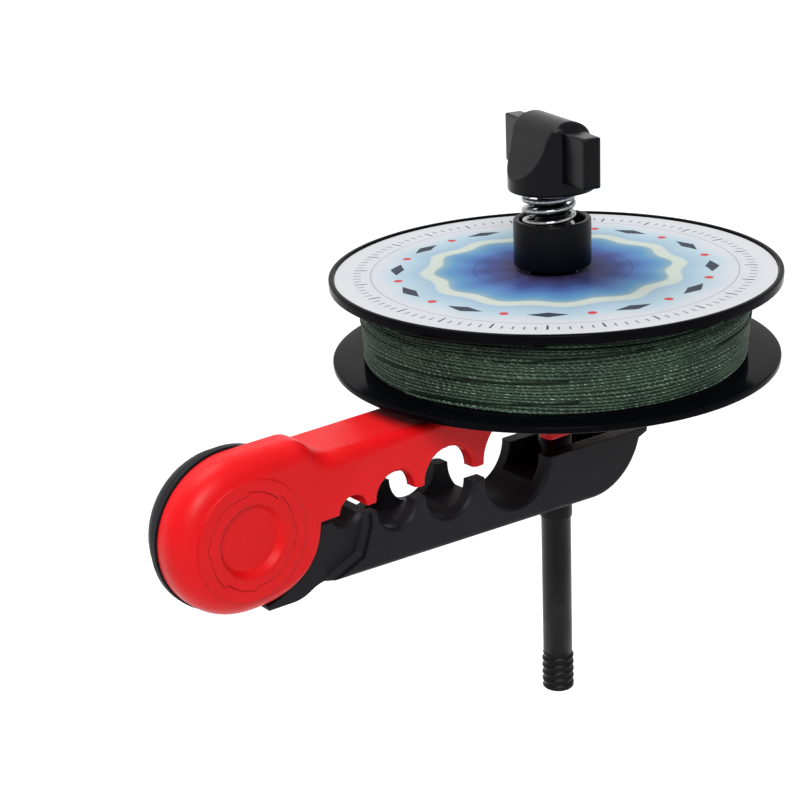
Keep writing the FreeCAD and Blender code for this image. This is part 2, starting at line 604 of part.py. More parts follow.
def make_line_winding():
    z0, z1 = WIND_BOTTOM + SLIP, WIND_TOP - SLIP
    r = CORE_R
    return turned([(r, z0), (WIND_R_LOW, z0), (WIND_R_LOW + 0.3, z0 + 1.0), (WIND_R_HIGH, z1 - 1.5),
                   (WIND_R_HIGH - 0.5, z1), (r, z1)])


# ---------------------------------------------------------------- cup, spring and knob
CUP_BOTTOM = UPPER_RIM_TOP - LABEL_SINK + LABEL_T + SLIP


def make_centring_cup():
    floor = CUP_BOTTOM + CUP_FLOOR
    return turned([(CUP_BORE, CUP_BOTTOM - CUP_NOSE), (CUP_NOSE_R - 0.5, CUP_BOTTOM - CUP_NOSE),
                   (CUP_NOSE_R, CUP_BOTTOM - CUP_NOSE + 0.5), (CUP_NOSE_R, CUP_BOTTOM),
                   (CUP_FOOT_R, CUP_BOTTOM), (CUP_FOOT_R, CUP_BOTTOM + CUP_FOOT),
                   (CUP_R - CUP_EDGE, CUP_BOTTOM + CUP_FOOT + CUP_EDGE_RISE / 2),
                   (CUP_R, CUP_BOTTOM + CUP_FOOT + CUP_EDGE_RISE * 2), (CUP_R, CUP_TOP - 0.5),
                   (CUP_R - 0.4, CUP_TOP), (CUP_WELL_R + 0.3, CUP_TOP), (CUP_WELL_R, CUP_TOP - 0.4),
                   (CUP_WELL_R, floor), (CUP_BORE, floor)])


def make_cup_washer():
    z0 = CUP_BOTTOM + CUP_FLOOR
    return tube(CUP_WELL_R - 0.2, STEM_R + LOOSE, z0, z0 + WASH_T)


def make_drag_spring():
    r = DRAG_WIRE / 2
    z0 = CUP_BOTTOM + CUP_FLOOR + WASH_T + r + SLIP
    z1 = KNOB_BASE - WASH_T - r - SLIP
    c = coil(DRAG_R, DRAG_WIRE, DRAG_TURNS, z1 - z0)
    c.translate(V(SPINDLE_X + DRAG_OFF_X, DRAG_OFF_Y, z0))
    return c


def make_spring_washer():
    return tube(SPRING_WASHER_R, STEM_R + LOOSE, KNOB_BASE - WASH_T, KNOB_BASE)


def knob_profile():
    """Side view of the ridge and its two scoops, in the knob's own XZ plane."""
    ridge_c = KNOB_TOP - RIDGE_R
    turn = math.radians(RIDGE_TURN)
    start = pt(RIDGE_R * math.cos(turn), ridge_c + RIDGE_R * math.sin(turn))
    end = pt(KNOB_R + SCOOP_PAST, KNOB_BASE + SCOOP_LOW)
    chord = end - start
    bend = math.pi / 2 - turn - math.atan2(-chord.z, chord.x)
    sag = math.tan(bend / 2) / 2
    waist = (start + end) / 2 + pt(chord.z * sag, -chord.x * sag)
    half = [arc(start, waist, end), seg(end, pt(end.x, KNOB_BASE))]
    other = [e.mirror(V(0, 0, 0), V(1, 0, 0)) for e in half]
    back = arc(start, pt(0, KNOB_TOP), pt(-start.x, start.z))
    return half + other + [back, seg(pt(end.x, KNOB_BASE), pt(-end.x, KNOB_BASE))]


def knob_turning():
    """The round outside of the knob, softly crowned at the ends of the ridge."""
    top = KNOB_TOP + CROWN_RISE
    body = upright(KNOB_R, KNOB_BASE, top, 0)
    body = body.makeFillet(CROWN_ROUND, [e for e in body.Edges if on_level(e, top)])
    return body.makeFillet(KNOB_FOOT, [e for e in body.Edges if on_level(e, KNOB_BASE)])


def wing_bar():
    """Both wings as one bar across the knob, thickest at its middle."""
    low, high = KNOB_BASE + WING_LOW, KNOB_TOP - WING_TOP_DROP
    tip, root = WING_T / 2, WING_ROOT_T / 2
    plan = [V(tip, -WING_HALF, low), V(root, 0, low), V(tip, WING_HALF, low),
            V(-tip, WING_HALF, low), V(-root, 0, low), V(-tip, -WING_HALF, low)]
    bar = Part.Face(Part.makePolygon(plan + plan[:1])).extrude(V(0, 0, high - low))
    ends = [e for e in bar.Edges if abs(abs(middle(e).y) - WING_HALF) < 1e-4]
    bar = bar.makeFillet(WING_END_ROUND, ends)
    return bar.makeFillet(WING_EDGE, [e for e in bar.Edges if on_level(e, low) or on_level(e, high)])


def make_knob():
    body = slab(knob_profile(), -KNOB_R - 1, KNOB_R + 1).common(knob_turning())
    wing = wing_bar()
    body = body.fuse(wing)
    body.rotate(V(0, 0, 0), V(0, 0, 1), -KNOB_YAW)
    body.translate(V(SPINDLE_X, 0, 0))
    body = body.cut(upright(INSERT_R, KNOB_BASE - 1, KNOB_BASE + INSERT_L))
    return body.cut(upright(STEM_R + 0.4, KNOB_BASE, SPINDLE_TOP + KNOB_DOWN + 0.6))


def make_knob_insert():
    return tube(INSERT_R, STEM_R + RUN, KNOB_BASE, KNOB_BASE + INSERT_L)


PARTS = {
    "upper_jaw": make_upper_jaw,
    "lower_jaw": make_lower_jaw,
    "hub_cap": make_hub_cap,
    "pivot_sleeve": make_pivot_sleeve,
    "pivot_screw": make_pivot_screw,
    "screw_washer": lambda: washer(HEAD_FLOOR - 0.1 - WASHER_T),
    "nut_washer": lambda: washer(NUT_FLOOR + 0.1),
    "pivot_nut": make_pivot_nut,
    "torsion_spring": make_torsion_spring,
    "spindle": make_spindle,
    "retaining_ring": make_retaining_ring,
    "spool_seat": make_spool_seat,
    "spool_lower_flange": make_spool_lower_flange,
    "spool_core": make_spool_core,
    "spool_upper_flange": make_spool_upper_flange,
    "spool_label": make_spool_label,
    "line_winding": make_line_winding,
    "centring_cup": make_centring_cup,
    "cup_washer": make_cup_washer,
    "drag_spring": make_drag_spring,
    "spring_washer": make_spring_washer,
    "knob": make_knob,
    "knob_insert": make_knob_insert,
}

os.makedirs("parts", exist_ok=True)
for name, build in PARTS.items():
    shape = build()
    if shape.ShapeType != "Solid" and len(shape.Solids) == 1:
        shape = shape.Solids[0]
    box = shape.BoundBox
    print(name, "solids", len(shape.Solids), "valid", shape.isValid(), "volume %.0f" % shape.Volume,
          "box %.1f..%.1f %.1f..%.1f %.1f..%.1f" % (box.XMin, box.XMax, box.YMin, box.YMax, box.ZMin, box.ZMax))
    shape.exportStep("parts/" + name + ".step")
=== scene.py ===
# %% [markdown]
# A line winder: a clamp of two hinged jaws grips the rod, and a spool of braided line turns
# on an upright spindle under a sprung cup and a winged knob. The pieces come from a packed
# construction model, already in place and at real size. This lesson gives each of them its
# finish, and rebuilds the few whose surface needs finer shapes: the rims of the spool, the
# cup, the wound line, the spring and the threads.

# %% Load the frame
import bpy
import bmesh
import math
import random
from mathutils import Matrix, Vector, noise


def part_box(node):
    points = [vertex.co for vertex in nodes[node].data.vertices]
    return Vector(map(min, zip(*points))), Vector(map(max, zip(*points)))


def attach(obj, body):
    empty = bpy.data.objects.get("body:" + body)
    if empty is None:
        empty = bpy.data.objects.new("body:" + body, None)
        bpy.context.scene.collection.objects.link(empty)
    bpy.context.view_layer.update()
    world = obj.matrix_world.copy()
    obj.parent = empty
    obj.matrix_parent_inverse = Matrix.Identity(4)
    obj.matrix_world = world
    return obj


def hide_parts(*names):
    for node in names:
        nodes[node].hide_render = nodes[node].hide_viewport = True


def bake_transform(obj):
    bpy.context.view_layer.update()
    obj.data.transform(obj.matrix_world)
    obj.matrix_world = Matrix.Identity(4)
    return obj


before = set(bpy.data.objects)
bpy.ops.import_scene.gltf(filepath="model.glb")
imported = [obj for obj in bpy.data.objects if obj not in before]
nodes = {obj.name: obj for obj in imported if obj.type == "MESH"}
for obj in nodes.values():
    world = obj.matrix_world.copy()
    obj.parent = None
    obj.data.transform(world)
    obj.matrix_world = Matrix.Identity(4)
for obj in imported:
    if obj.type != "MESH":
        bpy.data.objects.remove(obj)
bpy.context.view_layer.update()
MM = 0.001
print("pieces in the frame:", len(nodes))

# %% [markdown]
# The camera is placed as a photographer would say it: how far round the object it stands,
# how high, and how much it leans to one side. A pasted matrix would do the same, but then
# no number could be read or changed. A small lens shift frames the tall knob and the long
# jaws together.

# %% Camera
AZIMUTH, ELEVATION, LEAN = -35.91, 20.33, -3.28
STAND = Vector((-178.35, -255.52, 134.58)) * MM
LENS, SENSOR = 76.83, 36.0
SHIFT = (0.06, 0.01)


def look_axes(azimuth, elevation, lean=0.0):
    """Right, up and back of a camera or lamp, from its angles in degrees."""
    a, e, r = (math.radians(v) for v in (azimuth, elevation, lean))
    back = Vector((math.sin(a) * math.cos(e), -math.cos(a) * math.cos(e), math.sin(e)))
    right = Vector((0, 0, 1)).cross(back).normalized()
    up = back.cross(right)
    return right * math.cos(r) + up * math.sin(r), up * math.cos(r) - right * math.sin(r), back


def add_object(name, data):
    obj = bpy.data.objects.new(name, data)
    bpy.context.scene.collection.objects.link(obj)
    return obj


cam = add_object("camera", bpy.data.cameras.new("camera"))
axes = look_axes(AZIMUTH, ELEVATION, LEAN)
cam.matrix_world = Matrix.Translation(STAND) @ Matrix(axes).transposed().to_4x4()
cam.data.lens, cam.data.sensor_width = LENS, SENSOR
cam.data.shift_x, cam.data.shift_y = SHIFT
cam.data.clip_start = 0.01
bpy.context.scene.camera = cam
print("camera looks along", tuple(round(v, 3) for v in -axes[2]))

# %% [markdown]
# Materials are built from nodes. Three small helpers keep that short: one adds a node and
# fills its sockets, one does a sum, and one starts a material with its constant settings.
# A socket that is given another node's output is linked, and one that is given a number
# is set. Sheen, coat and specular level are only ever set, so an export keeps them.

# %% Node helpers
def put(socket, value, tree):
    """Link the socket when value is another node's output, and set it otherwise."""
    if isinstance(value, bpy.types.NodeSocket):
        tree.links.new(value, socket)
    else:
        socket.default_value = value


def node(tree, kind, inputs=(), **settings):
    """Add a shader node of this kind, with settings, and fill the named or numbered inputs."""
    n = tree.nodes.new("ShaderNode" + kind)
    for key, value in settings.items():
        setattr(n, key, value)
    for key, value in dict(inputs).items():
        put(n.inputs[key], value, tree)
    return n


def calc(tree, operation, a, b=0.0, c=0.0):
    """One step of arithmetic on numbers or sockets."""
    return node(tree, "Math", {0: a, 1: b, 2: c}, operation=operation).outputs[0]


def start_material(name, rough=0.5, metallic=0.0, specular=0.5, coat=0.0):
    m = bpy.data.materials.new(name)
    m.use_nodes = True
    shader = m.node_tree.nodes["Principled BSDF"]
    for key, value in (("Roughness", rough), ("Metallic", metallic),
                       ("Specular IOR Level", specular), ("Coat Weight", coat)):
        shader.inputs[key].default_value = value
    return m, m.node_tree, shader


def grey(v):
    return (v, v, v, 1)


def field(tree, size_mm, detail=2.0, stretch=(1, 1, 1), rough=0.5):
    """Smooth noise whose blobs are about size_mm across; stretch squeezes it along an axis."""
    spot = node(tree, "TexCoord").outputs["Object"]
    if stretch != (1, 1, 1):
        spot = node(tree, "Mapping", {"Vector": spot, "Scale": stretch}).outputs[0]
    return node(tree, "TexNoise", {"Vector": spot, "Scale": 1 / (size_mm * MM),
                                   "Detail": detail, "Roughness": rough}).outputs["Fac"]


def spread(tree, value, low, high, start=0.3, end=0.7):
    """Stretch noise, which keeps near its middle, to the range from low to high."""
    return node(tree, "MapRange", {"Value": value, "From Min": start, "From Max": end,
                                   "To Min": low, "To Max": high}).outputs["Result"]


def blend_colour(tree, amount, a, b):
    mix = node(tree, "Mix", {"Factor": amount}, data_type="RGBA")
    put(mix.inputs["A"], a, tree)
    put(mix.inputs["B"], b, tree)
    return mix.outputs["Result"]


# %% [markdown]
# Moulded plastic is never one even colour. The flow of the melt leaves broad, faint clouds,
# the steel of the mould prints a fine grain, and handling polishes it here and there, which
# changes the roughness and not the colour. No moulded edge is a perfect corner either:
# a Bevel node rounds the shading of each edge by a few tenths of a millimetre, and costs no
# faces. One function makes all the plastics, and only its numbers differ.

# %% Plastics
def plastic(name, dark, light, rough, specular=0.5, edge=0.35, grain=0.22, depth=0.012, coat=0.0):
    m, tree, shader = start_material(name, specular=specular, coat=coat)
    clouds = spread(tree, field(tree, 14, 3), 0, 1)
    put(shader.inputs["Base Color"], blend_colour(tree, clouds, (*dark, 1), (*light, 1)), tree)
    put(shader.inputs["Roughness"], spread(tree, field(tree, 5, 4), *rough), tree)
    corner = node(tree, "Bevel", {"Radius": edge * MM}, samples=6).outputs[0]
    fine = field(tree, grain, 2)
    bump = node(tree, "Bump", {"Strength": 0.5, "Distance": depth * MM, "Height": fine, "Normal": corner})
    put(shader.inputs["Normal"], bump.outputs[0], tree)
    return m


red_plastic = plastic("red_plastic", (0.70, 0.005, 0.007), (0.80, 0.008, 0.012), (0.32, 0.42),
                      specular=0.16, edge=0.5)
black_plastic = plastic("black_plastic", (0.008, 0.008, 0.0098), (0.013, 0.013, 0.016), (0.38, 0.52),
                        specular=0.1, edge=0.4, depth=0.02)
spool_plastic = plastic("spool_plastic", (0.002, 0.002, 0.003), (0.003, 0.003, 0.0045), (0.09, 0.15),
                        specular=0.02, edge=0.25, depth=0.003)
spindle_black = plastic("spindle_black", (0.003, 0.003, 0.004), (0.006, 0.006, 0.007), (0.26, 0.38),
                        specular=0.1, edge=0.3, depth=0.012)
knob_black = plastic("knob_black", (0.001, 0.001, 0.002), (0.002, 0.002, 0.0035), (0.20, 0.27),
                     specular=0.12, edge=0.7, depth=0.01)
cup_black = plastic("cup_black", (0.002, 0.002, 0.0032), (0.0035, 0.0035, 0.0055), (0.26, 0.34),
                    specular=0.08, edge=0.5, depth=0.012)
plastics = (red_plastic, black_plastic, spool_plastic, spindle_black, knob_black, cup_black)
print("plastics:", [m.name for m in plastics])

# %% [markdown]
# The metal parts are small: wire, washers, a screw and two brass inserts. Turned and drawn
# metal carries fine scratches in the direction it was made, so the noise is squeezed along
# one axis. They show in the roughness and, faintly, in the colour.

# %% Metals
METAL_EDGE = 0.12


def metal(name, dark, light, rough, stretch=(1, 1, 1), size=0.8):
    m, tree, shader = start_material(name, metallic=1.0)
    streak = spread(tree, field(tree, size, 3, stretch), 0, 1)
    put(shader.inputs["Base Color"], blend_colour(tree, streak, (*dark, 1), (*light, 1)), tree)
    put(shader.inputs["Roughness"], spread(tree, field(tree, size * 0.6, 3, stretch), *rough), tree)
    corner = node(tree, "Bevel", {"Radius": METAL_EDGE * MM}, samples=6).outputs[0]
    bump = node(tree, "Bump", {"Strength": 0.3, "Distance": 0.01 * MM, "Height": streak, "Normal": corner})
    put(shader.inputs["Normal"], bump.outputs[0], tree)
    return m


bright_steel = metal("bright_steel", (0.16, 0.16, 0.165), (0.42, 0.42, 0.43), (0.08, 0.2), size=0.7)
zinc_steel = metal("zinc_steel", (0.42, 0.43, 0.45), (0.62, 0.63, 0.66), (0.22, 0.38), (1, 0.25, 1))
brass = metal("brass", (0.56, 0.38, 0.13), (0.74, 0.54, 0.22), (0.22, 0.36), (1, 1, 6))
print("metals:", [m.name for m in (bright_steel, zinc_steel, brass)])

# %% [markdown]
# Round pieces are made on a lathe: a half section is drawn as a few points of radius and
# height, and bmesh spins it once round the spindle. Merging the last step with the first
# closes it, and points on the axis fall together when doubles are removed. Rounded corners
# come from a bevel on the section's own corners before it is spun, so each rim catches
# a thin highlight as a moulded rim does.

# %% Lathe helpers
AXIS = Vector((61.0, 0.0, 0.0)) * MM


def rounded_section(points, rounds, closed=True):
    """A section of (radius, height) in mm; rounds gives the corner radius by point number."""
    bm = bmesh.new()
    verts = [bm.verts.new(AXIS + Vector((r, 0, z)) * MM) for r, z in points]
    count = len(verts) if closed else len(verts) - 1
    for i in range(count):
        bm.edges.new((verts[i], verts[(i + 1) % len(verts)]))
    for i, radius in rounds.items():
        bmesh.ops.bevel(bm, geom=[verts[i]], affect="VERTICES", offset=radius * MM, offset_type="OFFSET",
                        segments=4, profile=0.5, material=-1)
    return bm


def spin_round(bm, steps):
    """Spin everything in the bmesh once round the spindle and close it."""
    bmesh.ops.spin(bm, geom=bm.verts[:] + bm.edges[:], cent=AXIS, axis=(0, 0, 1),
                   angle=2 * math.pi, steps=steps, use_merge=True)
    bmesh.ops.remove_doubles(bm, verts=bm.verts[:], dist=1e-6)
    bmesh.ops.recalc_face_normals(bm, faces=bm.faces[:])


def make_piece(name, bm, material, body, slot, *instead_of):
    """Finish a bmesh as a smooth piece that rides on a body in the place of CAD nodes."""
    mesh = bpy.data.meshes.new(name)
    bm.to_mesh(mesh)
    bm.free()
    mesh.shade_smooth()
    mesh.materials.append(material)
    obj = add_object(name, mesh)
    if body:
        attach(obj, body)
    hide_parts(*instead_of)
    print(name, "faces", len(mesh.polygons))
    return obj


# %% [markdown]
# The two flanges of the spool are thin glossy discs. The upper one carries the print in
# a shallow recess, so only a narrow black ring stands proud of it. The lower one has a
# turned-down lip. Their sizes come from the construction model, so they can't drift from it.

# %% Flanges
def reach(name):
    """Radius, lowest and highest height of a round node, in mm."""
    low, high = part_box(name)
    return (high.x - low.x) / 2 / MM, low.z / MM, high.z / MM


RIM_ROUND, LIP_ROUND, BORE = 0.38, 0.12, 4.76
RIM_PROUD, RIM_DROP, RIM_WIDTH = 0.35, 0.45, 2.4
LIP_DEPTH, LIP_WIDTH, LIP_SLOPE = 0.35, 3.2, 0.3
RECESS_GAP, RECESS_SLOPE, RECESS_DEPTH = 0.08, 0.17, 0.2
TURNS = 192

r, z0, z1 = reach("spool_upper_flange")
label_r, _, deck = reach("spool_label")
top, lip = z1 + RIM_PROUD, z0 - RIM_DROP
recess_r, floor_z = label_r + RECESS_GAP, deck - RECESS_DEPTH
section = [(BORE, z0), (r - RIM_WIDTH, z0), (r - RIM_WIDTH + LIP_SLOPE, lip), (r, lip), (r, top),
           (recess_r + RECESS_SLOPE, top), (recess_r, floor_z), (BORE, floor_z)]
bm = rounded_section(section, {1: 0.2, 2: 0.15, 3: LIP_ROUND, 4: RIM_ROUND, 5: 0.15})
spin_round(bm, TURNS)
make_piece("flange_with_recess", bm, spool_plastic, "spool", "spool_plastic", "spool_upper_flange")

r, lip, z1 = reach("spool_lower_flange")
z0 = lip + LIP_DEPTH
section = [(BORE, z0), (r - LIP_WIDTH, z0), (r - LIP_WIDTH + LIP_SLOPE, lip), (r, lip), (r, z1), (BORE, z1)]
bm = rounded_section(section, {1: 0.2, 2: 0.15, 3: RIM_ROUND, 4: RIM_ROUND})
spin_round(bm, TURNS)
make_piece("flange_with_lip", bm, spool_plastic, "spool", "spool_plastic", "spool_lower_flange")

# %% [markdown]
# The cup under the spring is turned on the same lathe. Its wall runs straight down to a small
# round just above the print. Only its nose reaches the spool and centres it, and the inside
# is a deep well for the spring.

# %% Cup
CUP_LIFT, CUP_NOSE_R, CUP_BORE = 0.95, 4.55, 3.85
WELL_GAP, CUP_TURNS = 0.2, 96
r, nose, cup_top = reach("centring_cup")
well_r, cup_floor, _ = reach("cup_washer")
well_r, well_floor, wall_foot = well_r + WELL_GAP, cup_floor - 0.02, deck + CUP_LIFT
section = [(CUP_BORE, nose), (CUP_NOSE_R, nose), (CUP_NOSE_R, wall_foot), (r, wall_foot), (r, cup_top),
           (well_r, cup_top), (well_r, well_floor), (CUP_BORE, well_floor)]
bm = rounded_section(section, {1: 0.5, 3: 0.6, 4: 0.35, 5: 0.4, 6: 0.5})
spin_round(bm, CUP_TURNS)
make_piece("sprung_cup", bm, cup_black, "spool", "knob_black", "centring_cup")

# %% [markdown]
# A hundred metres of braided line lie on the core in hundreds of turns, but only the outer
# layer shows. Modelling each turn as a tube would cost millions of faces, so the outer wall
# of a ring is cut into many fine bands, and each vertex is drawn in where two turns meet.
# Real turns are not even: they climb as they go round, wander, and dip where the layer
# below left a valley. The row number of every vertex is stored, because the braid's
# weave has to follow the same rows.

# %% Wound line
ROWS, SAMPLES = 23, 7
GROOVE, WANDER = 0.45, 1.0
WIND_STEPS = 400
random.seed(7)
row_lift = [random.uniform(-0.32, 0.10) for _ in range(ROWS + 8)]

r_high, z0, z1 = reach("line_winding")
r_low, r_inner = r_high - 1.2, 30.05
row_height = (z1 - z0) / ROWS


def row_at(angle, height):
    """Row number, with its fraction, at this place on the wall; turns climb and wander."""
    spot = Vector((math.cos(angle), math.sin(angle), height / 5)) * 1.6
    return (height - z0) / row_height - angle / (2 * math.pi) + WANDER * noise.noise(spot) + 2


def wall_radius(angle, height):
    row = row_at(angle, height)
    whole = math.floor(row)
    part = row - whole
    up = (height - z0) / (z1 - z0)
    lift = row_lift[whole % len(row_lift)] * math.sin(math.pi * part) ** 0.5
    spot = Vector((math.cos(angle) * 3, math.sin(angle) * 3, height / 3))
    return (r_low + (r_high - 0.15 - r_low) * up - GROOVE * abs(math.cos(math.pi * part)) ** 3
            + lift + 0.12 * noise.noise(spot))


bm = rounded_section([(r_inner, z0), (r_low, z0), (r_low, z1), (r_inner, z1)], {})
outer_edge = [e for e in bm.edges if all((v.co - AXIS).x > (r_low - 0.1) * MM for v in e.verts)]
bmesh.ops.subdivide_edges(bm, edges=outer_edge, cuts=ROWS * SAMPLES - 1)
spin_round(bm, WIND_STEPS)
row_layer = bm.verts.layers.float.new("row")
for v in bm.verts:
    arm = v.co - AXIS
    radius, angle, height = math.hypot(arm.x, arm.y), math.atan2(arm.y, arm.x), arm.z / MM
    v[row_layer] = row_at(angle, height)
    if radius > (r_low - 0.1) * MM:
        scale = wall_radius(angle, height) * MM / radius
        v.co = AXIS + Vector((arm.x * scale, arm.y * scale, arm.z))
print("rows of line:", ROWS, "of", round(row_height, 2), "mm")

# %% [markdown]
# Braided line is woven from eight fine fibres, so a turn seen close up is a row of small
# slanting scales that catch the light one by one. Two sets of slanting waves, added, give
# them: as a bump, and as painted highlights laid into the colour. The angle round the spindle
# drives them, and the stored row number places them across the line. Noise bends both and
# wipes some scales out, because real fibres are worn and squeezed. White noise of the whole
# row number shifts and tints each turn as a different one. The gap between two turns is
# darkened with painted shade, which also dims the painted highlights there.

# %% Braided line material
SCALES_ROUND = 190
braided_line, tree, shader = start_material("braided_line", rough=0.5, specular=0.1)
centred = node(tree, "Mapping", {"Vector": node(tree, "TexCoord").outputs["Object"], "Location": -AXIS})
place = node(tree, "SeparateXYZ", {0: centred.outputs[0]}).outputs
turn = calc(tree, "ARCTAN2", place[1], place[0])
row = node(tree, "Attribute", attribute_name="row").outputs["Fac"]
lot = node(tree, "TexWhiteNoise", {"W": calc(tree, "FLOOR", row)}, noise_dimensions="1D").outputs["Value"]
across = calc(tree, "MULTIPLY_ADD", row, 2 * math.pi, calc(tree, "MULTIPLY", lot, 40))
squeezed = spread(tree, field(tree, 1.6, 2), -2.6, 2.6)
along = calc(tree, "MULTIPLY_ADD", turn, SCALES_ROUND, squeezed)
one = calc(tree, "SINE", calc(tree, "ADD", along, across))
two = calc(tree, "SINE", calc(tree, "SUBTRACT", along, across))
weave = calc(tree, "MAXIMUM", calc(tree, "MULTIPLY_ADD", one, 0.60, calc(tree, "MULTIPLY", two, 0.40)), 0.0)
worn = spread(tree, field(tree, 0.9, 3), 0.0, 1, 0.36, 0.62)
patches = spread(tree, field(tree, 9, 3), 0, 1)
lengths = spread(tree, field(tree, 7, 3, (1, 1, 9)), 0.35, 1)
# Painted shade: towards the gap between two turns the colour is darkened to near black, and the painted
# highlights are dimmed there too.
swing = calc(tree, "COSINE", calc(tree, "MULTIPLY", row, math.pi))
painted_groove_shade = calc(tree, "POWER", calc(tree, "ABSOLUTE", swing), 6)
outside_groove_shade = calc(tree, "SUBTRACT", 1.0, calc(tree, "MULTIPLY", painted_groove_shade, 0.9))
# Painted highlights: where the scales would catch the light, the colour is blended towards a pale green,
# stronger on some turns than on others.
bright = calc(tree, "MULTIPLY", calc(tree, "MULTIPLY_ADD", lot, 0.6, 0.5), lengths)
painted_scale_highlight = calc(tree, "MULTIPLY", calc(tree, "MULTIPLY", weave, worn), calc(tree, "MULTIPLY", outside_groove_shade, bright))
base = blend_colour(tree, patches, (0.026, 0.045, 0.031, 1), (0.060, 0.108, 0.070, 1))
groove_shaded_base = blend_colour(tree, outside_groove_shade, (0.003, 0.006, 0.004, 1), base)
put(shader.inputs["Base Color"], blend_colour(tree, painted_scale_highlight, groove_shaded_base, (0.50, 0.66, 0.54, 1)), tree)
put(shader.inputs["Roughness"], spread(tree, worn, 0.4, 0.62, 0, 1), tree)
bump = node(tree, "Bump", {"Strength": 0.8, "Distance": 0.08 * MM, "Height": weave})
put(shader.inputs["Normal"], bump.outputs[0], tree)
make_piece("wound_line", bm, braided_line, "spool", "braided_line", "line_winding")

# %% [markdown]
# Here and there a turn crosses the ones below it at a slant. A few such strands are laid
# over the wall: a small ring is spun part of the way round the spindle while it rises.

# %% Crossing strands
STRAND_R, STRAND_SIDES, STRAND_SUNK = 0.24, 8, 0.28
STRANDS = 16


def spin_rising(bm, edges, degrees, rise, steps):
    """Sweep edges round the spindle while they rise; returns the edges at the far end."""
    out = bmesh.ops.spin(bm, geom=edges, cent=AXIS, axis=(0, 0, 1), angle=math.radians(degrees),
                         dvec=(0, 0, rise * MM / steps), steps=steps)
    return [g for g in out["geom_last"] if isinstance(g, bmesh.types.BMEdge)]


def small_ring(bm, radius, height, wire, start=0.0, sides=STRAND_SIDES):
    """A ring of edges that stands across the path of a sweep, at an angle round the spindle."""
    turn = Matrix.Rotation(math.radians(start), 4, "Z")
    place = Matrix.Translation(AXIS) @ turn @ Matrix.Translation(Vector((radius, 0, height)) * MM)
    made = bmesh.ops.create_circle(bm, segments=sides, radius=wire * MM,
                                   matrix=place @ Matrix.Rotation(math.pi / 2, 4, "X"))
    return list({e for v in made["verts"] for e in v.link_edges})


bm = bmesh.new()
random.seed(21)
for _ in range(STRANDS):
    start, sweep = random.uniform(0, 360), random.uniform(40, 90)
    low = random.uniform(z0 + 0.8, z1 - 3.5)
    rise = random.uniform(0.8, 2.4)
    up = (low + rise / 2 - z0) / (z1 - z0)
    ring = small_ring(bm, r_low + (r_high - r_low) * up - STRAND_SUNK, low, STRAND_R, start)
    bmesh.ops.contextual_create(bm, geom=ring)
    last = spin_rising(bm, ring, sweep, rise, 40)
    bmesh.ops.contextual_create(bm, geom=last)
row_layer = bm.verts.layers.float.new("row")
bmesh.ops.recalc_face_normals(bm, faces=bm.faces[:])
make_piece("crossing_strands", bm, braided_line, "spool", "braided_line")

# %% [markdown]
# The drag spring presses the cup on the spool and is squeezed by the knob. It is one wire:
# a nearly flat turn at each end, where a press closes it, and open turns between. It grows
# and shrinks as the knob moves, but here it is built once, to the height between the washer
# in the cup and the washer under the knob.

# %% Drag spring
WIRE_R, COIL_R, SPRING_SIDES = 0.6, 5.1, 14
SPRING_OFFSET = Vector((-0.55, 0.4, 0)) * MM
_, _, cup_floor = reach("cup_washer")
_, washer_low, _ = reach("spring_washer")
first, last_z = cup_floor + WIRE_R + 0.05, washer_low - WIRE_R - 0.05
FLAT_TURN, FLAT_RISE = 0.7, 0.85
OPEN_TURNS = 4.0
PHASE = 200

bm = bmesh.new()
ring = small_ring(bm, COIL_R, first, WIRE_R, PHASE, SPRING_SIDES)
bmesh.ops.contextual_create(bm, geom=ring)
open_rise = last_z - first - 2 * FLAT_RISE
for turns, rise in ((FLAT_TURN, FLAT_RISE), (OPEN_TURNS, open_rise), (FLAT_TURN, FLAT_RISE)):
    ring = spin_rising(bm, ring, 360 * turns, rise, int(64 * turns))
bmesh.ops.contextual_create(bm, geom=ring)
bmesh.ops.translate(bm, verts=bm.verts[:], vec=SPRING_OFFSET)
bmesh.ops.recalc_face_normals(bm, faces=bm.faces[:])
spring = make_piece("drag_spring_wire", bm, bright_steel, None, "bright_steel", "drag_spring")
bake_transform(spring)
print("spring turns:", OPEN_TURNS + 2 * FLAT_TURN, "height", round(last_z - first, 1), "mm")

# %% [markdown]
# The spindle is one black rod with steps. Its lower end is threaded, and so is the stem
# that the knob climbs. A thread can be swept as a ridge, but that leaves a loose end at
# each stop. Here the wall is cut into fine bands and each vertex is moved in or out by
# the height of the thread at its angle, so the rod stays one closed skin and the thread
# can fade out at both ends. Two narrow flats run down the lower thread, where the halves
# of the mould met.

# %% Spindle
THREAD_PITCH, THREAD_DEPTH = 1.75, 0.55
_, foot, tip = reach("spindle")
TAIL_TOP_Z, TAIL_RUN, SHAFT_R = -56.0, 3.6, 3.3
SHOULDER_Z, SHANK_R = -22.1, 3.62
STEM_START, STEM_R, STEM_THREAD = 4.15, 3.6, 38.0
FLAT_R, FLAT_DIRECTIONS = 3.32, (54, 234)


def thread_height(angle, height, low, high):
    """How far the thread stands out, from 0 to 1, fading at its two ends."""
    phase = (height / THREAD_PITCH - angle / (2 * math.pi)) % 1
    ridge = min(1, max(0, 1.45 - abs(phase - 0.5) * 4.2))
    fade = min(1, max(0, (height - low) / 0.8)) * min(1, max(0, (high - height) / 0.6))
    return ridge * fade


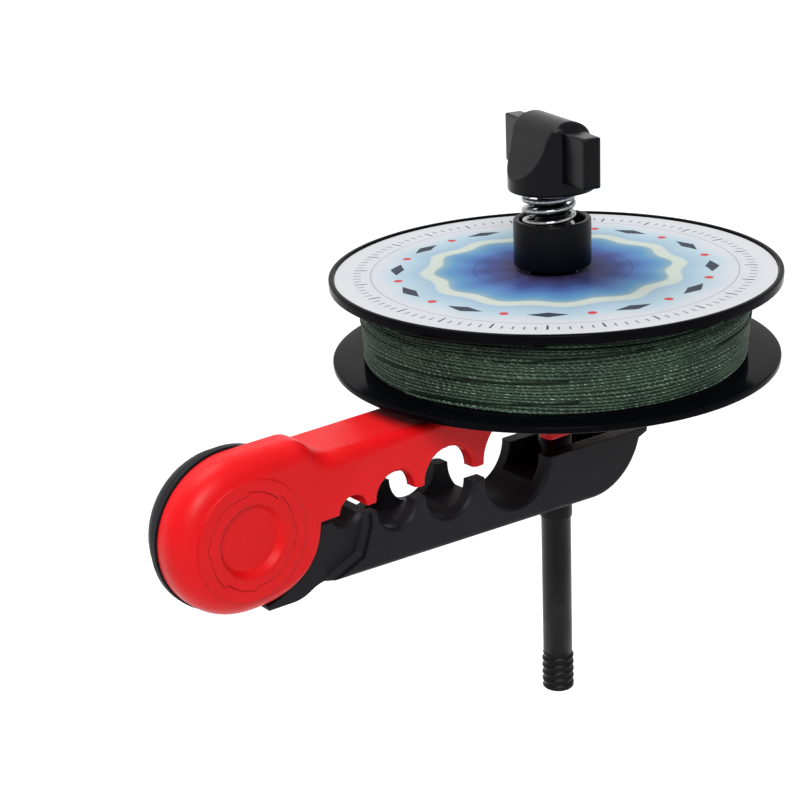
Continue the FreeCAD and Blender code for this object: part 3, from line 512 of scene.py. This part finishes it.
section = [(0, foot), (TAIL_RUN, foot), (TAIL_RUN, TAIL_TOP_Z), (SHAFT_R, TAIL_TOP_Z + 0.3),
           (SHAFT_R, SHOULDER_Z), (SHANK_R, SHOULDER_Z), (SHANK_R, STEM_START), (STEM_R, STEM_START),
           (STEM_R, STEM_THREAD), (STEM_R, tip), (0, tip)]
bm = rounded_section(section, {1: 0.5, 5: 0.2, 9: 0.5}, closed=False)


def cut_between(bm, low, high, cuts):
    """Cut the wall's edge that runs from one height to the other into fine bands."""
    edges = [e for e in bm.edges if {round(v.co.z / MM, 1) for v in e.verts} == {low, high}]
    bmesh.ops.subdivide_edges(bm, edges=edges, cuts=cuts)
    return len(edges)


found = cut_between(bm, round(foot + 0.5, 1), TAIL_TOP_Z, 56)
found += cut_between(bm, STEM_THREAD, round(tip - 0.5, 1), 130)
spin_round(bm, 72)
for v in bm.verts:
    arm = v.co - AXIS
    radius, angle, height = math.hypot(arm.x, arm.y), math.atan2(arm.y, arm.x), arm.z / MM
    tail = foot + 0.4 < height < TAIL_TOP_Z + 0.01
    if radius < 3.4 * MM or not (tail or height > STEM_THREAD - 0.01):
        continue
    span = (foot, TAIL_TOP_Z) if tail else (STEM_THREAD, tip)
    new = radius / MM - THREAD_DEPTH * (1 - thread_height(angle, height, *span))
    if tail:
        for flat in FLAT_DIRECTIONS:
            off = (angle - math.radians(flat) + math.pi) % (2 * math.pi) - math.pi
            if abs(off) < 0.5:
                new = min(new, FLAT_R / math.cos(off))
    v.co = AXIS + Vector((arm.x, arm.y, 0)) * (new * MM / radius) + Vector((0, 0, arm.z))
make_piece("threaded_spindle", bm, spindle_black, "upper_jaw", "spindle_black", "spindle")
print("walls cut for threads:", found)

# %% [markdown]
# A printed paper disc lies in the recess of the upper flange. Its print is a plain ornament
# of rings, as on a dial: deep blue in the middle and pale at the rim, with scalloped
# borders, a ring of diamonds and dots, and a scale of ticks. All of it is drawn by sums on
# the place of each point, so it is sharp at any size and needs no image. First come the two
# coordinates: the distance from the middle in millimetres, and the way round in degrees.

# %% Print coordinates
printed_label, tree, shader = start_material("printed_label", rough=0.45, specular=0.01)
spot = node(tree, "TexCoord").outputs["Object"]
middle = -AXIS - Vector((0, 0, deck * MM))
centred = node(tree, "Mapping", {"Vector": spot, "Location": middle}).outputs[0]
in_mm = node(tree, "VectorMath", {0: centred, 3: 1 / MM}, operation="SCALE").outputs[0]
parts = node(tree, "SeparateXYZ", {0: in_mm}).outputs
RADIUS = node(tree, "VectorMath", {0: in_mm}, operation="LENGTH").outputs["Value"]
DEGREES = calc(tree, "MULTIPLY", calc(tree, "ARCTAN2", parts[1], parts[0]), 180 / math.pi)


def soft_step(value, edge, width=0.12):
    """0 below the edge and 1 above it, with a soft rim of this width in mm."""
    return node(tree, "MapRange", {"Value": value, "From Min": edge - width, "From Max": edge + width},
                interpolation_type="SMOOTHSTEP").outputs["Result"]


def between(value, low, high, width=0.12):
    return calc(tree, "MULTIPLY", soft_step(value, low, width),
                calc(tree, "SUBTRACT", 1.0, soft_step(value, high, width)))


def both(*masks):
    out = masks[0]
    for mask in masks[1:]:
        out = calc(tree, "MULTIPLY", out, mask)
    return out


def wave(value, length, offset=0.0):
    """Sine of a coordinate, with this wave length in the same unit."""
    return calc(tree, "SINE", calc(tree, "MULTIPLY_ADD", value, 2 * math.pi / length, offset))


def teeth(value, period, share):
    """1 over this share of every period, 0 between."""
    return calc(tree, "LESS_THAN", calc(tree, "FRACT", calc(tree, "DIVIDE", value, period)), share)


# %% [markdown]
# One colour ramp along the radius gives the rings. A sine of the angle pushes its borders
# in and out, which makes twelve scallops, and a little noise keeps them from being too even.

# %% Print rings
RAMP_END = 46.0
LOBES, LOBE_HEIGHT = 12, 0.8
RINGS = [(8, (0.035, 0.027, 0.077)), (14, (0.042, 0.062, 0.209)), (18, (0.07, 0.155, 0.387)),
         (22, (0.1, 0.263, 0.449)), (24.2, (0.216, 0.34, 0.42)), (24.8, (0.511, 0.565, 0.5)),
         (27.2, (0.511, 0.565, 0.519)), (27.8, (0.31, 0.434, 0.542)), (33, (0.41, 0.534, 0.604)),
         (37, (0.554, 0.576, 0.616)), (RAMP_END, (0.598, 0.598, 0.625))]
soft = node(tree, "TexNoise", {"Vector": in_mm, "Scale": 0.035, "Detail": 2.0}).outputs["Fac"]
scalloped = calc(tree, "MULTIPLY_ADD", wave(DEGREES, 360 / LOBES), LOBE_HEIGHT, RADIUS)
bent = calc(tree, "ADD", scalloped, spread(tree, soft, -0.5, 0.5))
ramp = node(tree, "ValToRGB", {"Fac": calc(tree, "DIVIDE", bent, RAMP_END)})
stops = ramp.color_ramp.elements
while len(stops) < len(RINGS):
    stops.new(0.5)
for stop, (at, colour) in zip(stops, RINGS):
    stop.position, stop.color = at / RAMP_END, (*colour, 1)
ink = ramp.outputs["Color"]


def paint(mask, colour, amount=1.0):
    """Lay a colour over the print where the mask is 1."""
    global ink
    ink = blend_colour(tree, calc(tree, "MULTIPLY", mask, amount), ink, (*colour, 1))


# %% [markdown]
# The ornament and the scale repeat round the disc, so each is drawn once, in a cell of the
# ring, and the fraction of the angle repeats it. A diamond is where the two distances, each
# over its half width, add up to less than one. A dot is where their length is small.

# %% Print ornament
INK, RED_INK = (0.02, 0.022, 0.04), (0.55, 0.04, 0.045)
ORNAMENT_R, DIAMOND_LONG, DIAMOND_TALL, DOT_R = 33.0, 4.2, 1.5, 0.95


def ring_cell(count, shift):
    """Distances in mm, sideways and outwards, from the middle of the nearest of these cells."""
    step = 360 / count
    share = calc(tree, "FRACT", calc(tree, "DIVIDE", calc(tree, "ADD", DEGREES, shift), step))
    side = calc(tree, "MULTIPLY", calc(tree, "SUBTRACT", share, 0.5), math.radians(step) * ORNAMENT_R)
    return calc(tree, "ABSOLUTE", side), calc(tree, "ABSOLUTE", calc(tree, "SUBTRACT", RADIUS, ORNAMENT_R))


side, out = ring_cell(LOBES, 0)
diamond = calc(tree, "ADD", calc(tree, "DIVIDE", side, DIAMOND_LONG), calc(tree, "DIVIDE", out, DIAMOND_TALL))
paint(calc(tree, "SUBTRACT", 1.0, soft_step(diamond, 1.0, 0.05)), INK, 0.95)
side, out = ring_cell(LOBES, 180 / LOBES)
squares = calc(tree, "ADD", calc(tree, "MULTIPLY", side, side), calc(tree, "MULTIPLY", out, out))
from_dot = calc(tree, "SQRT", squares)
paint(calc(tree, "SUBTRACT", 1.0, soft_step(from_dot, DOT_R, 0.08)), RED_INK, 0.95)

# %% [markdown]
# A scale of short and long ticks runs all the way round near the rim, with a thin ring on
# each side of the ornament. A tick is a ring cut by teeth. A fine fleck, like the surface of
# paper, goes over everything, and then the colours are joined to the shader.

# %% Print scale
SCALE_IN, SCALE_OUT, LONG_TICK_IN = 40.6, 42.2, 39.6
TICK, LONG_TICK = 3, 15
THIN_RINGS = ((38.4, 0.2), (16.5, 0.25))
paint(both(between(RADIUS, SCALE_IN, SCALE_OUT), teeth(DEGREES, TICK, 0.16)), INK, 0.8)
paint(both(between(RADIUS, LONG_TICK_IN, SCALE_OUT), teeth(DEGREES, LONG_TICK, 0.04)), INK, 0.9)
for ring_r, width in THIN_RINGS:
    paint(between(RADIUS, ring_r, ring_r + width), INK, 0.5)
fleck = spread(tree, field(tree, 0.35, 2), 0.975, 1.0)
put(shader.inputs["Base Color"], blend_colour(tree, fleck, (0.5, 0.5, 0.52, 1), ink), tree)
put(shader.inputs["Roughness"], spread(tree, field(tree, 6, 3), 0.28, 0.4), tree)
print("nodes in the print:", len(tree.nodes))

# %% [markdown]
# The other pieces keep the shapes of the construction model and only need their finish.
# The jaws, the cap, the seat and the knob are moulded, and the small parts are turned or
# bent from wire. The spool's core, hidden under the line, is moulded with the flanges.

# %% Dress the carried pieces
finish_of = {
    red_plastic: ["upper_jaw", "hub_cap"],
    black_plastic: ["lower_jaw", "spool_seat"],
    spool_plastic: ["spool_core"],
    knob_black: ["knob"],
    printed_label: ["spool_label"],
    bright_steel: ["torsion_spring"],
    zinc_steel: ["pivot_screw", "screw_washer", "nut_washer", "pivot_nut", "retaining_ring", "cup_washer",
                 "spring_washer"],
    brass: ["pivot_sleeve", "knob_insert"],
}
for material, names in finish_of.items():
    for name in names:
        nodes[name].data.materials.clear()
        nodes[name].data.materials.append(material)
print("dressed", sum(len(v) for v in finish_of.values()), "carried pieces")

# %% [markdown]
# Soft studio light. The world does two jobs. For diffuse light it is a room: one large bright
# panel behind the object, a ceiling that fades towards the horizon, and dark below. For the
# camera, and for glossy and transmission rays, it is plain white, so metal and gloss show
# the background that the camera sees. Suns light near and far alike, and a wide angle makes
# each of them as soft as a big softbox.

# %% Light
FILL, SEEN = 0.56, 1.0
PANEL_SIDE, PANEL, PANEL_EDGE = (178, 36), 1.8, (0.77, 0.92)
DARK, CEILING, CEILING_EDGE = 0.03, 0.7, (0.25, 0.9)
bpy.context.scene.view_settings.view_transform = "Standard"
world = bpy.data.worlds.new("studio")
bpy.context.scene.world = world
world.use_nodes = True
sky = world.node_tree
path = node(sky, "LightPath").outputs
seen = calc(sky, "MAXIMUM", path["Is Camera Ray"], calc(sky, "MAXIMUM", path["Is Glossy Ray"],
                                                       path["Is Transmission Ray"]))
towards = node(sky, "TexCoord").outputs["Generated"]
panel_way = tuple(look_axes(*PANEL_SIDE)[2])
facing = node(sky, "VectorMath", {0: towards, 1: panel_way}, operation="DOT_PRODUCT").outputs["Value"]
up = node(sky, "SeparateXYZ", {0: towards}).outputs[2]


def fade(value, edge, low, high):
    """Run softly from low to high while the value runs over the edge."""
    return node(sky, "MapRange", {"Value": value, "From Min": edge[0], "From Max": edge[1],
                                  "To Min": low, "To Max": high},
                interpolation_type="SMOOTHSTEP").outputs["Result"]


panel = fade(facing, PANEL_EDGE, 0, PANEL)
ceiling = fade(up, CEILING_EDGE, DARK, CEILING)
wall = calc(sky, "ADD", panel, ceiling)
plain = calc(sky, "MULTIPLY_ADD", seen, calc(sky, "SUBTRACT", 1.0, wall), wall)
level = calc(sky, "MULTIPLY_ADD", seen, SEEN - FILL, FILL)
put(sky.nodes["Background"].inputs["Strength"], calc(sky, "MULTIPLY", plain, level), sky)
sky.nodes["Background"].inputs["Color"].default_value = grey(1)


def sun(name, azimuth, elevation, power, spread_degrees):
    """A soft sun that shines from the given direction, in degrees."""
    lamp = bpy.data.lights.new(name, "SUN")
    lamp.energy, lamp.angle = power, math.radians(spread_degrees)
    obj = add_object(name, lamp)
    obj.matrix_world = Matrix(look_axes(azimuth, elevation)).transposed().to_4x4()
    return obj


sun("overhead", -165, 66, 1.35, 30)
sun("front", -38, 40, 2.3, 28)

# %% [markdown]
# The floor is a plain pale sheet some way below the spindle. To the camera, and to glossy and
# transmission rays, it glows, which brings it to white without more light on the object.
# This glow is so strong that the soft shadow on the floor is white too and can't be seen.
# With a glow of about 0.22 the open floor would still be white, and the shadow would show.

# %% Floor
FLOOR_Z, FLOOR_SIZE, FLOOR_GREY, GLOW = -0.24, 6.0, 0.6, 0.5
bm = bmesh.new()
bmesh.ops.create_grid(bm, x_segments=1, y_segments=1, size=FLOOR_SIZE,
                      matrix=Matrix.Translation((0, 0, FLOOR_Z)))
mesh = bpy.data.meshes.new("floor")
bm.to_mesh(mesh)
bm.free()
floor = add_object("floor", mesh)
paper, tree, shader = start_material("paper", rough=0.9, specular=0.1)
shader.inputs["Base Color"].default_value = grey(FLOOR_GREY)
shader.inputs["Emission Color"].default_value = grey(1)
light_path = node(tree, "LightPath").outputs
shown = calc(tree, "MAXIMUM", light_path["Is Camera Ray"],
             calc(tree, "MAXIMUM", light_path["Is Glossy Ray"], light_path["Is Transmission Ray"]))
put(shader.inputs["Emission Strength"], calc(tree, "MULTIPLY", shown, GLOW), tree)
mesh.materials.append(paper)
